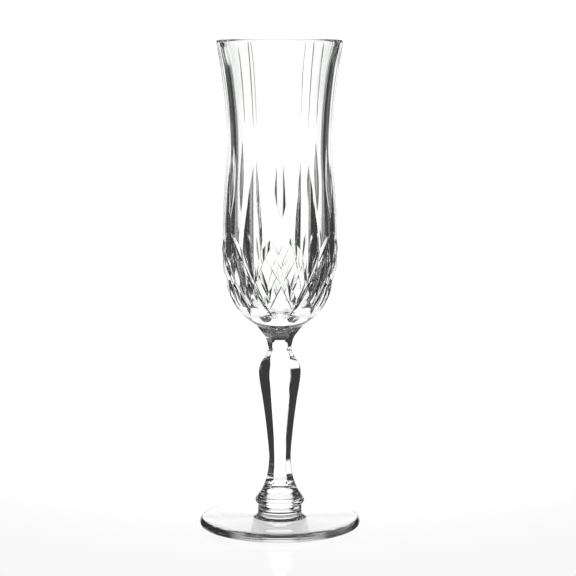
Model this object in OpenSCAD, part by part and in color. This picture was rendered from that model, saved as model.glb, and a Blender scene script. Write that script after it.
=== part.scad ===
// Champagne flute, pressed crystalline glass: cut bowl, six-sided baluster stem, round foot.
// Millimetres, +Z up, origin at the centre of the foot's underside.

/* [Overall] */
// Height from the table to the lip
total_height = 212; // [205:1:220]
// Outer diameter of the mouth
mouth_diameter = 54.8; // [53.6:0.2:56.4]
// Diameter of the foot
foot_diameter = 70.8; // [66.8:0.4:74.8]

/* [Bowl] */
// Outer diameter at the narrow waist
waist_diameter = 45.8; // [45.2:0.2:46.6]
// Outer diameter at the full shoulder
shoulder_diameter = 50.8; // [50.2:0.2:51.4]
// Glass thickness at the lip
lip_wall = 3.2; // [2.8:0.1:3.6]
// Glass thickness at the waist
waist_wall = 4.2; // [3.8:0.1:4.6]
// Height of the inside floor above the table
floor_height = 95; // [94:0.5:96.5]

/* [Cuts] */
// Depth of the short leaf cuts
short_leaf_depth = 1.2; // [0.8:0.1:1.4]
// Depth of the long leaf cuts
long_leaf_depth = 1.9; // [1.6:0.1:2]
// Depth of the crossing diagonal cuts
diagonal_depth = 1.1; // [0.95:0.05:1.25]

/* [Stem] */
// Half the width across the flats at the knop
knop_flat = 7.95; // [7.65:0.05:8.25]
// Half the width across the flats at the narrowest place
slim_flat = 4.2; // [4:0.05:4.4]

/* [Foot] */
// Thickness of the foot at its edge
foot_edge = 3.2; // [2.8:0.1:3.8]

/* [Hidden] */
$fn = 96;
bowl_base = 88.4;
foot_top = 9;
cuts = 6;

// Outer wall of the bowl, from its base up to the lip: height, radius.
outer_wall = [
    [bowl_base, 10.1],
    [90, 12.4],
    [92.8, 15.7],
    [98.3, 20],
    [108.5, 23.7],
    [121, shoulder_diameter / 2],
    [146, 24.2],
    [165, waist_diameter / 2],
    [184, 23.7],
    [199, 25.4],
    [total_height - 1.4, mouth_diameter / 2]
];
// Inside of the bowl, from its floor up to the lip: height, radius.
inner_wall = [
    [floor_height, 6],
    [floor_height + 1.5, 10],
    [floor_height + 5, 13.7],
    [108.5, 17.1],
    [121, 19.3],
    [146, 19.4],
    [165, waist_diameter / 2 - waist_wall],
    [184, 19.6],
    [199, 21.4],
    [total_height - 1.4, mouth_diameter / 2 - lip_wall]
];

// Slope of a height-radius list at one of its points.
function slope(list, i) = (list[min(i + 1, len(list) - 1)][1] - list[max(i - 1, 0)][1])
    / (list[min(i + 1, len(list) - 1)][0] - list[max(i - 1, 0)][0]);
// Smooth radius between points i and i + 1.
function blend(list, i, z) = let(
    h = list[i + 1][0] - list[i][0],
    t = (z - list[i][0]) / h
) list[i][1] * (1 + 2 * t) * (1 - t) * (1 - t)
    + slope(list, i) * h * t * (1 - t) * (1 - t)
    + list[i + 1][1] * t * t * (3 - 2 * t)
    + slope(list, i + 1) * h * t * t * (t - 1);
// Index of the stretch that holds height z.
function stretch(list, z, i = 0) = i >= len(list) - 2 || z < list[i + 1][0] ? i : stretch(list, z, i + 1);
function radius_at(list, z) = blend(list, stretch(list, z), z);
// The smooth wall as points, each stretch cut in equal steps.
function wall_points(list, steps) = [
    for (i = [0 : len(list) - 2], k = [0 : steps - 1])
        let(z = list[i][0] + (list[i + 1][0] - list[i][0]) * k / steps)
        [blend(list, i, z), z],
    [list[len(list) - 1][1], list[len(list) - 1][0]]
];
function turned_over(list) = [for (i = [len(list) - 1 : -1 : 0]) list[i]];

// A point on the bowl's outer wall, sunk below it: height, turn from the front, depth.
function on_bowl(z, turn, sunk) = let(r = radius_at(outer_wall, z) - sunk)
    [r * sin(turn), -r * cos(turn), z];
// Centre of the circle through three points.
function circle_centre(a, b, c) = let(
    u = b - a,
    v = c - a,
    w = cross(u, v)
) a + (cross(w, u) * (v * v) + cross(v, w) * (u * u)) / (2 * (w * w));

// V cut whose root runs on the circle through three points, as wide as it ever gets at half.
module v_cut(a, b, c, side, half) {
    centre = circle_centre(a, b, c);
    root = norm(a - centre);
    n = cross(b - a, c - a) / norm(cross(b - a, c - a));
    tilt = acos(n[2]);
    heading = atan2(n[1], n[0]);
    arm = a - centre;
    flat_x = arm[0] * cos(heading) + arm[1] * sin(heading);
    flat_y = arm[1] * cos(heading) - arm[0] * sin(heading);
    start = atan2(flat_y, flat_x * cos(tilt) - arm[2] * sin(tilt));
    sweep = 2 * asin(norm(c - a) / (2 * root));
    // A cut bent the same way as the wall opens away from its centre, a wheel cut opens towards it.
    way = (b[0] - centre[0]) * b[0] + (b[1] - centre[1]) * b[1] > 0 ? 1 : -1;
    flank = way * half / side;
    translate(centre)
    rotate([0, tilt, heading])
    rotate([0, 0, start])
    rotate_extrude(angle = sweep, $fn = 720)
    polygon([
        [root, 0],
        [root + flank, -way * half],
        [root + 4 * way, -way * half],
        [root + 4 * way, way * half],
        [root + flank, way * half]
    ]);
}

module bowl_body() {
    lip_middle = mouth_diameter / 2 - lip_wall / 2;
    // turned a little, so that the lathe's seam stays clear of the cuts
    rotate([0, 0, 18])
    rotate_extrude()
    polygon(concat(
        [[0, bowl_base]],
        wall_points(outer_wall, 2),
        // the lip is squarer outside than inside
        [for (a = [30 : 30 : 150]) let(e = a < 90 ? 0.5 : 1) [
            lip_middle + lip_wall / 2 * sign(cos(a)) * pow(abs(cos(a)), e),
            total_height - 1.4 + 1.4 * pow(sin(a), e)
        ]],
        turned_over(wall_points(inner_wall, 1)),
        [[0, floor_height]]
    ));
}

module around() {
    for (i = [0 : cuts - 1])
        rotate([0, 0, 360 / cuts * i])
        children();
}

// Six long diagonals from under the short leaves, leaning to one side.
module long_diagonals(s) {
    around()
    v_cut(on_bowl(131.8, 0, -0.1), on_bowl(109.6, 28.6 * s, diagonal_depth), on_bowl(93.8, 49.6 * s, -0.2), 1.5, 2.5);
}

// Six short diagonals that cross the long ones.
module short_diagonals(s) {
    around()
    v_cut(on_bowl(122, -17.5 * s, -0.3), on_bowl(108.5, 0, diagonal_depth + 0.05), on_bowl(95, 19 * s, -0.3), 1.4, 2.5);
}

module short_leaves() {
    around()
    v_cut(on_bowl(168.5, 0, 0), on_bowl(151, 0, short_leaf_depth), on_bowl(136, 0, 0), 2.6, 4);
}

module long_leaves() {
    around()
    v_cut(on_bowl(165, 30, -0.2), on_bowl(132, 30, long_leaf_depth), on_bowl(104.5, 30, -0.3), 2.2, 7.2);
}

// Fine lines that carry the long leaves up to the lip.
module fine_lines() {
    around()
    v_cut(on_bowl(total_height - 1, 30, -0.4), on_bowl(189, 30, 0.3), on_bowl(167, 30, -0.1), 2, 2);
}

// The cuts are made one family at a time, so that the tools of one step never meet.
module bowl_with_leaves() {
    difference() {
        difference() {
            difference() {
                bowl_body();
                short_leaves();
            }
            long_leaves();
        }
        fine_lines();
    }
}

module bowl_with_long_diagonals() {
    difference() {
        difference() {
            bowl_with_leaves();
            long_diagonals(1);
        }
        long_diagonals(-1);
    }
}

module bowl() {
    color([0.86, 0.92, 0.92, 0.45])
    difference() {
        difference() {
            bowl_with_long_diagonals();
            short_diagonals(1);
        }
        short_diagonals(-1);
    }
}

// Half width across the flats up the stem: height, half width.
stem_flats = [
    [foot_top, 12.5],
    [12.5, 11],
    [14.6, 8.7],
    [17, 6.7],
    [19.5, 5.5],
    [23, 4.7],
    [29.5, slim_flat],
    [36, 4.45],
    [44.5, 5.2],
    [54, 6.3],
    [62, 7.35],
    [67, knop_flat],
    [70, 7.8],
    [72.6, 7],
    [75.4, 5.9],
    [78, 5],
    [81, 5.05],
    [84.6, 6.3],
    [bowl_base, 8.95]
];
// Round envelope of the stem, a bell over the foot's boss at its lower end: height, radius.
stem_round = [
    [foot_top, 9.4],
    [9.7, 10.2],
    [10.6, 10.8],
    [11.8, 10.7],
    [13, 9.8],
    [15.4, 8.15],
    [18, 6.9],
    [20.8, 5.9],
    [25, 5.1],
    [31.5, slim_flat + 0.6],
    [40, 5.5],
    [48, 6.4],
    [56, 7.5],
    [64, 8.8],
    [68.5, knop_flat + 1.2],
    [71.3, 8.6],
    [74, 7],
    [76.6, 5.65],
    [79.3, 5.2],
    [83.2, 6.2],
    [85.9, 8.1],
    [bowl_base, 10.1]
];

// Slab between two opposite flats.
module flats() {
    side = wall_points(stem_flats, 2);
    rotate([90, 0, 0])
    linear_extrude(height = 30, center = true)
    polygon(concat(side, [for (p = turned_over(side)) [-p[0], p[1]]]));
}

module stem() {
    color([0.84, 0.9, 0.9, 0.45])
    intersection() {
        rotate_extrude()
        polygon(concat([[0, foot_top]], wall_points(stem_round, 2), [[0, bowl_base]]));
        rotate([0, 0, 30])
        flats();
        rotate([0, 0, 90])
        flats();
        rotate([0, 0, 150])
        flats();
    }
}

module foot() {
    edge = foot_edge / 2;
    r = foot_diameter / 2;
    color([0.88, 0.93, 0.93, 0.45])
    rotate_extrude()
    polygon(concat(
        [[0, 0]],
        [for (a = [-90 : 22.5 : 67.5]) [r - edge + edge * cos(a), edge + edge * sin(a)]],
        // gently domed top running into the boss under the stem
        [for (k = [0 : 8]) [r - edge - (r - edge - 12) * k / 8, foot_edge + 0.35 * k / 8]],
        [for (a = [15 : 15 : 75]) [12 - 2.4 * sin(a), foot_edge + 0.35 + 2.4 * (1 - cos(a))]],
        [[9.6, foot_top - 1.4], [9.6, foot_top], [0, foot_top]]
    ));
}

bowl();
stem();
foot();
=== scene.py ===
import math

import bpy
from mathutils import Matrix, Vector


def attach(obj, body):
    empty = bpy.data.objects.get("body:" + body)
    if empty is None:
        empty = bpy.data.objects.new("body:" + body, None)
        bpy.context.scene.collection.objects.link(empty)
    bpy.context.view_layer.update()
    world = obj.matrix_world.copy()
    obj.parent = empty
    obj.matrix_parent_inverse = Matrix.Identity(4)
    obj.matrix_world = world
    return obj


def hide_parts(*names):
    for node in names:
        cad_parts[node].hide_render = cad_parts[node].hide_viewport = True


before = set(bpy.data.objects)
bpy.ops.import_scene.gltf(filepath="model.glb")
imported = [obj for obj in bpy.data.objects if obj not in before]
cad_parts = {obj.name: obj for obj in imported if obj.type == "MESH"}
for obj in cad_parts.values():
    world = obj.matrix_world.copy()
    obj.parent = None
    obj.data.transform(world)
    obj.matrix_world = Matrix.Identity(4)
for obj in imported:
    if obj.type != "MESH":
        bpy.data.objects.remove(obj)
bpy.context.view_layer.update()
mm = 0.001


def clearSelection():
    if bpy.context.object and bpy.context.object.mode != "OBJECT":
        bpy.ops.object.mode_set(mode="OBJECT")
    bpy.ops.object.select_all(action="DESELECT")


def pickOnly(piece):
    clearSelection()
    piece.select_set(True)
    bpy.context.view_layer.objects.active = piece


# ---- camera ----

camera = {
    "lens": 115.6,
    "distance": 0.8,
    "height": 0.1995,
    "turn": 1.5,  # degrees to the left of straight in front
    "lookAt": (0.0036, 0, 0.1048),
}


def addCamera():
    a = math.radians(camera["turn"])
    away = camera["distance"]
    place = Vector((-away * math.sin(a), -away * math.cos(a), camera["height"]))
    aim = Vector(camera["lookAt"]) - place
    bpy.ops.object.camera_add(location=place, rotation=aim.to_track_quat("-Z", "Y").to_euler())
    view = bpy.context.object
    view.name = "viewCamera"
    view.data.lens = camera["lens"]
    view.data.clip_start = 0.05
    view.data.clip_end = 60
    bpy.context.scene.camera = view


# ---- materials ----


def linear(hexColour):
    out = []
    for i in (0, 2, 4):
        c = int(hexColour[i : i + 2], 16) / 255
        out.append(c / 12.92 if c <= 0.04045 else ((c + 0.055) / 1.055) ** 2.4)
    return (*out, 1)


def addNode(tree, kind, settings=None, links=None):
    node = tree.nodes.new(kind)
    for key, value in (settings or {}).items():
        if isinstance(key, str) and hasattr(node, key):
            setattr(node, key, value)
        else:
            node.inputs[key].default_value = value
    for key, source in (links or {}).items():
        tree.links.new(source, node.inputs[key])
    return node


glass = {
    "tint": "fcfdfc",
    "ior": 1.54,
    "waveMm": {"bowl": 9, "stem": 6.3, "foot": 14.4},  # spacing of the soft waves that pressing leaves
    "waveDepthMm": 0.012,
    "dullest": 0.012,  # roughness where the fire polish is at its weakest
}


def pressedGlass(name, waveMm):
    # crystalline soda-lime glass, pressed and fire polished:
    # clear, with slow waves that bend highlights a little
    mat = bpy.data.materials.new(name)
    mat.use_nodes = True
    tree = mat.node_tree
    tree.nodes.clear()
    place = addNode(tree, "ShaderNodeTexCoord")
    waves = addNode(
        tree,
        "ShaderNodeTexNoise",
        {"Scale": 1000 / waveMm, "Detail": 1.5, "Roughness": 0.4},
        {"Vector": place.outputs["Object"]},
    )
    bump = addNode(
        tree,
        "ShaderNodeBump",
        {"Strength": 1.0, "Distance": glass["waveDepthMm"] * mm},
        {"Height": waves.outputs["Fac"]},
    )
    gloss = addNode(
        tree,
        "ShaderNodeMapRange",
        {"From Min": 0.3, "From Max": 0.8, "To Min": 0.0, "To Max": glass["dullest"]},
        {"Value": waves.outputs["Fac"]},
    )
    body = addNode(
        tree,
        "ShaderNodeBsdfPrincipled",
        {"Base Color": linear(glass["tint"]), "Transmission Weight": 1.0, "IOR": glass["ior"]},
        {"Normal": bump.outputs["Normal"], "Roughness": gloss.outputs["Result"]},
    )
    addNode(tree, "ShaderNodeOutputMaterial", None, {"Surface": body.outputs["BSDF"]})
    return mat


def fusedSeam():
    # where two pieces are melted together there is no surface, so light goes straight through
    mat = bpy.data.materials.new("fusedGlassSeam")
    mat.use_nodes = True
    tree = mat.node_tree
    tree.nodes.clear()
    body = addNode(
        tree,
        "ShaderNodeBsdfPrincipled",
        {"Base Color": (1, 1, 1, 1), "Transmission Weight": 1.0, "IOR": 1.0, "Roughness": 0.0},
    )
    addNode(tree, "ShaderNodeOutputMaterial", None, {"Surface": body.outputs["BSDF"]})
    return mat


# ---- shaping helpers ----


def slopeAt(wall, i):
    a, b = wall[max(i - 1, 0)], wall[min(i + 1, len(wall) - 1)]
    return (b[1] - a[1]) / (b[0] - a[0])


def radiusAt(wall, z):
    # smooth curve through the wall's (height, radius) points
    i = 0
    while i < len(wall) - 2 and z >= wall[i + 1][0]:
        i += 1
    h = wall[i + 1][0] - wall[i][0]
    t = (z - wall[i][0]) / h
    return (
        wall[i][1] * (1 + 2 * t) * (1 - t) ** 2
        + slopeAt(wall, i) * h * t * (1 - t) ** 2
        + wall[i + 1][1] * t * t * (3 - 2 * t)
        + slopeAt(wall, i + 1) * h * t * t * (t - 1)
    )


def ringsUp(wall, step):
    # rings no further apart than step along the wall, always one at each of its points
    rings = []
    for i in range(len(wall) - 1):
        (z0, r0), (z1, r1) = wall[i], wall[i + 1]
        n = max(1, math.ceil(math.hypot(z1 - z0, r1 - r0) / step))
        rings += [(z0 + (z1 - z0) * k / n, radiusAt(wall, z0 + (z1 - z0) * k / n)) for k in range(n)]
    return rings + [wall[-1]]


def growRings(rings, sides=(True, True)):
    # the selected edge loop is pulled up ring by ring and scaled to each radius
    for (z0, r0), (z1, r1) in zip(rings, rings[1:]):
        bpy.ops.mesh.extrude_edges_move(TRANSFORM_OT_translate={"value": (0, 0, (z1 - z0) * mm)})
        s = r1 / r0
        bpy.ops.transform.resize(
            value=(s if sides[0] else 1, s if sides[1] else 1, 1), center_override=(0, 0, z1 * mm)
        )


def turned(name, rings, segments, poleEnd=False):
    # a lathe shape: rings from the first to the last, closed by a flat face or drawn to a point at the end
    clearSelection()
    bpy.ops.mesh.primitive_circle_add(
        vertices=segments,
        radius=rings[0][1] * mm,
        fill_type="NGON",
        location=(0, 0, rings[0][0] * mm),
    )
    piece = bpy.context.object
    piece.name = name
    piece.data.name = name
    bpy.ops.object.transform_apply(location=True, rotation=True, scale=True)
    bpy.ops.object.mode_set(mode="EDIT")
    bpy.ops.mesh.select_mode(type="EDGE")
    bpy.ops.mesh.select_all(action="SELECT")
    growRings(rings)
    if poleEnd:
        bpy.ops.mesh.merge(type="CENTER")
    else:
        bpy.ops.mesh.edge_face_add()
    bpy.ops.mesh.select_all(action="SELECT")
    bpy.ops.mesh.normals_make_consistent(inside=False)
    bpy.ops.object.mode_set(mode="OBJECT")
    return piece


def useBoolean(piece, tool, operation):
    pickOnly(piece)
    cut = piece.modifiers.new("cut", "BOOLEAN")
    cut.operation = operation
    cut.object = tool
    cut.solver = "MANIFOLD"
    bpy.ops.object.modifier_apply(modifier=cut.name)
    bpy.data.objects.remove(tool)


def shadeByAngle(piece, degrees):
    pickOnly(piece)
    bpy.ops.object.shade_smooth_by_angle(angle=math.radians(degrees))


def markSeams(piece, mats, low=None, high=None):
    # all faces are glass, but for the flat ones at heights low and high, where it is fused to its neighbour
    piece.data.materials.clear()
    for mat in mats:
        piece.data.materials.append(mat)
    near, flat = 0.02, 0.99
    for face in piece.data.polygons:
        z = face.center.z / mm
        atLow = low is not None and z < low + near and face.normal.z < -flat
        atHigh = high is not None and z > high - near and face.normal.z > flat
        face.material_index = 1 if atLow or atHigh else 0


# ---- bowl ----

bowl = {
    "outside": [
        (88.4, 10.1),
        (90, 12.4),
        (92.8, 15.7),
        (98.3, 20),
        (108.5, 23.7),
        (121, 25.4),
        (146, 24.2),
        (165, 22.9),
        (184, 23.7),
        (199, 25.4),
        (210.6, 27.4),
    ],
    "inside": [
        (95, 6),
        (96.5, 10),
        (100, 13.7),
        (108.5, 17.1),
        (121, 19.3),
        (146, 19.4),
        (165, 18.7),
        (184, 19.6),
        (199, 21.4),
        (210.6, 24.2),
    ],
    "floorDip": [(0.55, 4), (0.85, 2), (0.95, 0.4)],  # drop below the floor's edge, radius
    "lipRise": 1.4,
    "segments": 240,
    "ringStep": 1.5,
    "cuts": 6,
    "shortLeafDepth": 1.05,
    "longLeafDepth": 1.9,
    "fineLineDepth": 0.16,
    "softLineDepth": 0.09,
    "diagonalDepth": 1.35,
    "diagonalSide": 1.05,  # half width of a diagonal's groove for each millimetre of its depth
    "diagonalHalf": 2.5,
    "softLineTurn": 19.5,  # degrees to each side of a short leaf
    "cutterReach": 4,  # how far a tool goes on past the root of its groove
    "smoothBelow": 11,  # degrees
}


def onBowl(z, turn, sunk):
    r = radiusAt(bowl["outside"], z) - sunk
    a = math.radians(turn)
    return Vector((r * math.sin(a), -r * math.cos(a), z)) * mm


def vCutter(name, a, b, c, side, half, steps):
    # a V shaped tool bent on the circle through a, b and c, the points of its root
    u, v = b - a, c - a
    w = u.cross(v)
    centre = a + (w.cross(u) * v.dot(v) + v.cross(w) * u.dot(u)) / (2 * w.dot(w))
    root = (a - centre).length
    out = (a - centre).normalized()
    axis = w.normalized()
    way = 1 if (b - centre).dot(Vector((b.x, b.y, 0))) > 0 else -1
    wide = way * half * mm
    far = way * bowl["cutterReach"] * mm
    section = [(0, 0), (wide / side, -wide), (far, -wide), (far, wide), (wide / side, wide)]
    clearSelection()
    bpy.ops.mesh.primitive_circle_add(vertices=5, radius=mm, fill_type="NGON")
    tool = bpy.context.object
    tool.name = name
    for vertex, (reach, across) in zip(tool.data.vertices, section):
        vertex.co = centre + out * (root + reach) + axis * across
    bpy.ops.object.mode_set(mode="EDIT")
    bpy.ops.mesh.select_mode(type="FACE")
    bpy.ops.mesh.select_all(action="SELECT")
    sweep = 2 * math.asin(min(1, (c - a).length / (2 * root)))
    bpy.ops.mesh.spin(steps=steps, angle=-sweep, center=centre, axis=axis)  # spin turns the other way round
    bpy.ops.mesh.select_all(action="SELECT")
    bpy.ops.mesh.normals_make_consistent(inside=False)
    bpy.ops.object.mode_set(mode="OBJECT")
    return tool


def copiesAround(tool, count):
    # one tool becomes a ring of tools, each with its own mesh
    tools = [tool]
    for i in range(1, count):
        twin = tool.copy()
        twin.data = tool.data.copy()
        bpy.context.scene.collection.objects.link(twin)
        twin.data.transform(Matrix.Rotation(2 * math.pi / count * i, 4, "Z"))
        tools.append(twin)
    clearSelection()
    for t in tools:
        t.select_set(True)
    bpy.context.view_layer.objects.active = tool
    bpy.ops.object.join()
    return tool


def cutFamilies():
    # one tool of each family: name, three points of the root from the top down, how far each flank
    # opens for its depth, half the tool's width and the number of steps along it
    shortLeaf = onBowl(168.5, 0, 0), onBowl(151, 0, bowl["shortLeafDepth"]), onBowl(136, 0, 0)
    longLeaf = onBowl(165, 30, -0.2), onBowl(132, 30, bowl["longLeafDepth"]), onBowl(104.5, 30, -0.3)
    fineLine = onBowl(211, 30, 0.1), onBowl(189, 30, bowl["fineLineDepth"]), onBowl(167, 30, -0.1)
    families = [
        ("shortLeaf", *shortLeaf, 3, 4, 40),
        ("longLeaf", *longLeaf, 2.2, 7.2, 48),
        ("fineLine", *fineLine, 2, 2, 40),
    ]
    deep, side, half = bowl["diagonalDepth"], bowl["diagonalSide"], bowl["diagonalHalf"]
    for s in (1, -1):
        long = onBowl(131.8, 0, -0.1), onBowl(109.6, 28.6 * s, deep), onBowl(93.8, 49.6 * s, -0.2)
        short = onBowl(122, -17.5 * s, -0.3), onBowl(108.5, 0, deep + 0.05), onBowl(95, 19 * s, -0.3)
        turn = bowl["softLineTurn"] * s
        soft = onBowl(211, turn, 0.06), onBowl(191, turn, bowl["softLineDepth"]), onBowl(171, turn, -0.05)
        families += [
            ("longDiagonal", *long, side, half, 48),
            ("shortDiagonal", *short, side, half, 36),
            ("softLine", *soft, 5, 2, 40),
        ]
    return families


def makeBowl(mats):
    wall = ringsUp(bowl["outside"], bowl["ringStep"])
    outTop, inTop = bowl["outside"][-1], bowl["inside"][-1]
    middle, reach = (outTop[1] + inTop[1]) / 2, (outTop[1] - inTop[1]) / 2
    # the lip is squarer outside than inside
    lip = []
    for k in range(1, 24):
        a, e = math.radians(7.5 * k), 0.5 if k < 12 else 1
        side = math.copysign(abs(math.cos(a)) ** e, math.cos(a))
        lip.append((outTop[0] + bowl["lipRise"] * math.sin(a) ** e, middle + reach * side))
    inner = list(reversed(ringsUp(bowl["inside"], bowl["ringStep"])))
    floor = [(bowl["inside"][0][0] - drop, radius) for drop, radius in bowl["floorDip"]]
    rings = wall + lip + inner + floor
    piece = turned("bowl_glass", rings, bowl["segments"], poleEnd=True)
    for family in cutFamilies():
        useBoolean(piece, copiesAround(vCutter(*family), bowl["cuts"]), "DIFFERENCE")
    markSeams(piece, mats, low=bowl["outside"][0][0])
    shadeByAngle(piece, bowl["smoothBelow"])
    return piece


# ---- stem ----

stem = {
    "flats": [
        (9, 12.5),
        (12.5, 11),
        (14.6, 8.7),
        (17, 6.7),
        (19.5, 5.5),
        (23, 4.7),
        (29.5, 4.2),
        (36, 4.45),
        (44.5, 5.2),
        (54, 6.3),
        (62, 7.35),
        (67, 7.95),
        (70, 7.8),
        (72.6, 7),
        (75.4, 5.9),
        (78, 5),
        (81, 5.05),
        (84.6, 6.3),
        (88.4, 8.95),
    ],
    "round": [
        (9, 9.4),
        (9.7, 10.2),
        (10.6, 10.8),
        (11.8, 10.7),
        (13, 9.8),
        (15.4, 8.15),
        (18, 6.9),
        (20.8, 5.9),
        (25, 5.1),
        (31.5, 4.8),
        (40, 5.5),
        (48, 6.4),
        (56, 7.5),
        (64, 8.8),
        (68.5, 9.15),
        (71.3, 8.6),
        (74, 7),
        (76.6, 5.65),
        (79.3, 5.2),
        (83.2, 6.2),
        (85.9, 8.1),
        (88.4, 10.1),
    ],
    "segments": 192,
    "ringStep": 0.9,
    "slabHalf": 15,  # the slabs reach well past the stem on either side
    "smoothBelow": 16,  # degrees
}


def flatSlab(turn):
    # a slab whose two broad faces are a pair of the stem's flats, first facing front and back
    rings = ringsUp(stem["flats"], stem["ringStep"])
    spare = 1  # the slab runs on past the stem's ends
    rings = [(rings[0][0] - spare, rings[0][1])] + rings + [(rings[-1][0] + spare, rings[-1][1])]
    clearSelection()
    bpy.ops.mesh.primitive_plane_add(size=2, location=(0, 0, rings[0][0] * mm))
    slab = bpy.context.object
    slab.scale = (stem["slabHalf"] * mm, rings[0][1] * mm, 1)
    bpy.ops.object.transform_apply(location=True, rotation=True, scale=True)
    bpy.ops.object.mode_set(mode="EDIT")
    bpy.ops.mesh.select_mode(type="EDGE")
    bpy.ops.mesh.select_all(action="SELECT")
    growRings(rings, sides=(False, True))
    bpy.ops.mesh.edge_face_add()
    bpy.ops.mesh.select_all(action="SELECT")
    bpy.ops.mesh.normals_make_consistent(inside=False)
    bpy.ops.object.mode_set(mode="OBJECT")
    slab.data.transform(Matrix.Rotation(math.radians(turn), 4, "Z"))
    return slab


def makeStem(mats):
    rings = ringsUp(stem["round"], stem["ringStep"])
    piece = turned("stem_glass", rings, stem["segments"])
    for turn in (0, 60, 120):
        useBoolean(piece, flatSlab(turn), "INTERSECT")
    markSeams(piece, mats, low=stem["round"][0][0], high=stem["round"][-1][0])
    shadeByAngle(piece, stem["smoothBelow"])
    return piece


# ---- foot ----

foot = {
    "radius": 35.4,
    "edge": 3.2,
    "domeRise": 0.35,
    "fillet": 2.4,
    "bossRadius": 9.6,
    "bossHeight": 1.4,  # straight part of the boss, above the fillet
    "top": 9,
    "segments": 240,
    "smoothBelow": 24,  # degrees
}


def makeFoot(mats):
    half, bend = foot["edge"] / 2, foot["fillet"]
    outer = foot["radius"] - half
    bossFoot = foot["bossRadius"] + bend
    crown = foot["edge"] + foot["domeRise"]
    under = [(0, 4), (0, 12), (0, 20), (0, 28), (0, outer)]
    rim = [
        (half + half * math.sin(a), outer + half * math.cos(a))
        for a in (math.radians(-90 + 9 * k) for k in range(1, 20))
    ]
    dome = [
        (foot["edge"] + foot["domeRise"] * k / 24, outer - (outer - bossFoot) * k / 24) for k in range(25)
    ]
    fillet = [
        (crown + bend * (1 - math.cos(a)), bossFoot - bend * math.sin(a))
        for a in (math.radians(6 * k) for k in range(1, 14))
    ]
    boss = [(foot["top"] - foot["bossHeight"], foot["bossRadius"]), (foot["top"], foot["bossRadius"])]
    piece = turned("foot_glass", under + rim + dome + fillet + boss, foot["segments"])
    markSeams(piece, mats, high=foot["top"])
    shadeByAngle(piece, foot["smoothBelow"])
    return piece


# ---- table and light ----

studio = {
    "cardBlend": 5,  # degrees over which a card's edge fades into the black flags
    "flagTone": 0.045,
    "cardTone": 1.25,
    "tableRadius": 30,  # metres, past anything the camera sees
    "tableGlow": 1.04,
    "tableSheen": 0.1,
    "cardStretch": 1.5,  # heights are stretched before the angle is measured, so cards are wider than tall
    # direction of each card, with its height stretched, and its half width in degrees
    "cards": (
        (0.03, 1, -0.12, 27),
        (0.03, 0.87, -0.75, 20),
        (0.02, 0.64, -1.15, 22),
        (0, 0, -1, 26),
        (-1, 0, 0, 12),
        (1, 0, 0, 12),
        (0.68, -0.68, -0.39, 18),
        (-0.64, 0.64, -0.63, 12),
    ),
}


def addTable():
    clearSelection()
    bpy.ops.mesh.primitive_circle_add(vertices=96, radius=studio["tableRadius"], fill_type="NGON")
    table = bpy.context.object
    table.name = "lightTable"
    mat = bpy.data.materials.new("whiteAcrylicLightTable")
    mat.use_nodes = True
    tree = mat.node_tree
    tree.nodes.clear()
    glow = addNode(tree, "ShaderNodeEmission", {"Color": (1, 1, 1, 1), "Strength": studio["tableGlow"]})
    sheen = addNode(tree, "ShaderNodeBsdfGlossy", {"Color": (1, 1, 1, 1), "Roughness": 0.05})
    both = {1: glow.outputs[0], 2: sheen.outputs[0]}
    mix = addNode(tree, "ShaderNodeMixShader", {0: studio["tableSheen"]}, both)
    addNode(tree, "ShaderNodeOutputMaterial", None, {"Surface": mix.outputs[0]})
    table.data.materials.append(mat)
    # the glass looks past the table, at the cards and flags
    table.visible_transmission = False
    table.visible_glossy = False


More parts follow.
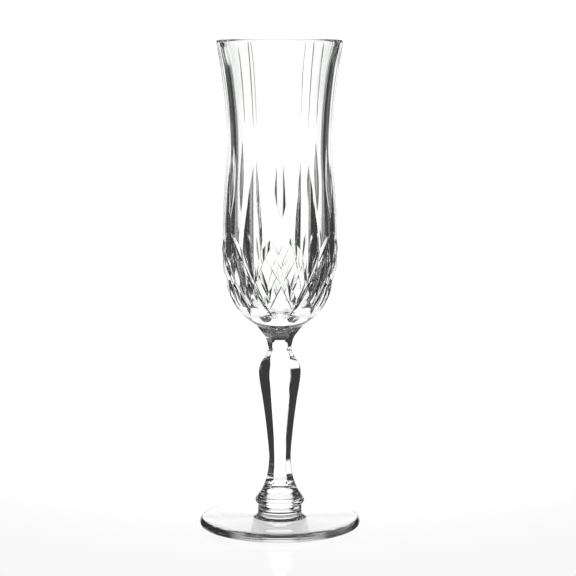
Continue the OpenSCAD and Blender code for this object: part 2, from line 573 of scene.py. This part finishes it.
def addWorld():
    world = bpy.data.worlds.new("brightFieldStudio")
    bpy.context.scene.world = world
    world.use_nodes = True
    tree = world.node_tree
    tree.nodes.clear()
    place = addNode(tree, "ShaderNodeTexCoord")
    taller = addNode(
        tree,
        "ShaderNodeVectorMath",
        {"operation": "MULTIPLY", 1: (1, 1, studio["cardStretch"])},
        {0: place.outputs["Generated"]},
    )
    toward = addNode(tree, "ShaderNodeVectorMath", {"operation": "NORMALIZE"}, {0: taller.outputs[0]})
    total = None
    # white cards: big ones behind, low behind and underneath, small ones at the sides and at two corners
    for x, y, z, halfWidth in studio["cards"]:
        card = Vector((x, y, z)).normalized()
        dot = {"operation": "DOT_PRODUCT", 1: card}
        facing = addNode(tree, "ShaderNodeVectorMath", dot, {0: toward.outputs[0]})
        window = addNode(
            tree,
            "ShaderNodeMapRange",
            {
                "interpolation_type": "SMOOTHSTEP",
                "From Min": math.cos(math.radians(halfWidth + studio["cardBlend"] / 2)),
                "From Max": math.cos(math.radians(halfWidth - studio["cardBlend"] / 2)),
            },
            {"Value": facing.outputs["Value"]},
        )
        if total is None:
            total = window.outputs[0]
        else:
            both = {0: total, 1: window.outputs[0]}
            total = addNode(tree, "ShaderNodeMath", {"operation": "MAXIMUM"}, both).outputs[0]
    tones = {"To Min": studio["flagTone"], "To Max": studio["cardTone"]}
    level = addNode(tree, "ShaderNodeMapRange", tones, {"Value": total}).outputs[0]
    path = addNode(tree, "ShaderNodeLightPath")
    # a plain white backdrop; the cards and flags only light the glass
    either = {0: level, 1: path.outputs["Is Camera Ray"]}
    seen = addNode(tree, "ShaderNodeMath", {"operation": "MAXIMUM"}, either)
    light = addNode(tree, "ShaderNodeBackground", {"Color": (1, 1, 1, 1)}, {"Strength": seen.outputs[0]})
    addNode(tree, "ShaderNodeOutputWorld", None, {"Surface": light.outputs[0]})


def setLook():
    scene = bpy.context.scene
    scene.view_settings.view_transform = "Standard"
    scene.view_settings.look = "None"
    cycles = scene.cycles
    cycles.max_bounces = 40
    cycles.transmission_bounces = 40
    cycles.glossy_bounces = 16
    cycles.transparent_max_bounces = 32


addCamera()
print("camera set")
addTable()
addWorld()
setLook()
print("table and light set")

bowlGlass = pressedGlass("pressedCrystallineGlassBowl", glass["waveMm"]["bowl"])
stemGlass = pressedGlass("pressedCrystallineGlassStem", glass["waveMm"]["stem"])
footGlass = pressedGlass("pressedCrystallineGlassFoot", glass["waveMm"]["foot"])
seam = fusedSeam()

pieces = ((makeBowl, bowlGlass, "bowl"), (makeStem, stemGlass, "stem"), (makeFoot, footGlass, "foot"))
for make, mat, node in pieces:
    piece = make([mat, seam])
    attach(piece, "root")
    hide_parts(node)
    print(node, "made,", len(piece.data.polygons), "faces")

clearSelection()
